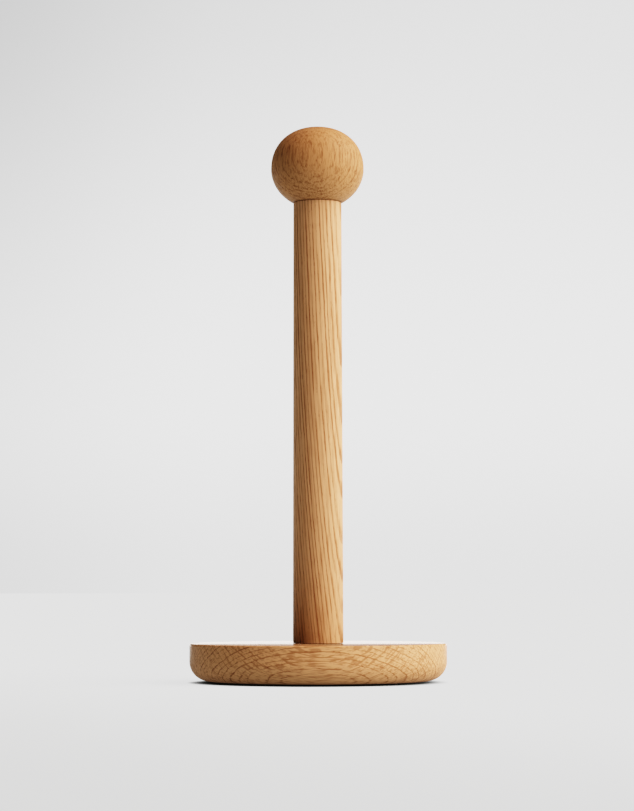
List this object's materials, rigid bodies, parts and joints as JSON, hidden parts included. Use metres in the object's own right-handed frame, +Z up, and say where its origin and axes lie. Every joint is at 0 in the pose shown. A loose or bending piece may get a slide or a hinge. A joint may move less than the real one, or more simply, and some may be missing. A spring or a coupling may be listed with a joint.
{
  "type": "paper towel holder",
  "caption": "Free-standing kitchen roll holder in turned oak: a round weighted base, an upright post for the roll, and an egg-shaped knob that lifts off.",
  "frame": {"origin": "the post's axis at the level the feet stand on", "axes": "+Z up along the post, towards the knob; +X to the right of the front view, which looks along +Y"},
  "size_m": [0.156, 0.156, 0.3393],
  "materials": {
    "oak": "oiled, satin",
    "oak_post": "oiled, satin",
    "oak_knob": "oiled, satin",
    "beech": "plain, matte",
    "zinc_steel": "zinc plated",
    "brass": "machined",
    "black_steel": "black powder coat",
    "rubber": "matte"
  },
  "bodies": {
    "stand": {"base_disc": "oak", "post": "oak_post", "base_bolt": "zinc_steel", "base_washer": "zinc_steel", "post_insert": "brass", "ballast_plate": "black_steel", "ballast_screw_1": "zinc_steel", "ballast_screw_2": "zinc_steel", "ballast_screw_3": "zinc_steel", "foot_1": "rubber", "foot_2": "rubber", "foot_3": "rubber", "foot_4": "rubber"},
    "peg": {"knob_peg": "beech"},
    "knob": {"knob": "oak_knob"}
  },
  "joints": [
    {"name": "knob_lift", "type": "slide", "parent": "stand", "child": "peg", "axis": [0, 0, 1], "range_m": [0, 0.04]},
    {"name": "knob_spin", "type": "hinge", "parent": "peg", "child": "knob", "pos_m": [0, 0, 0.3], "axis": [0, 0, 1], "continuous": true}
  ]
}
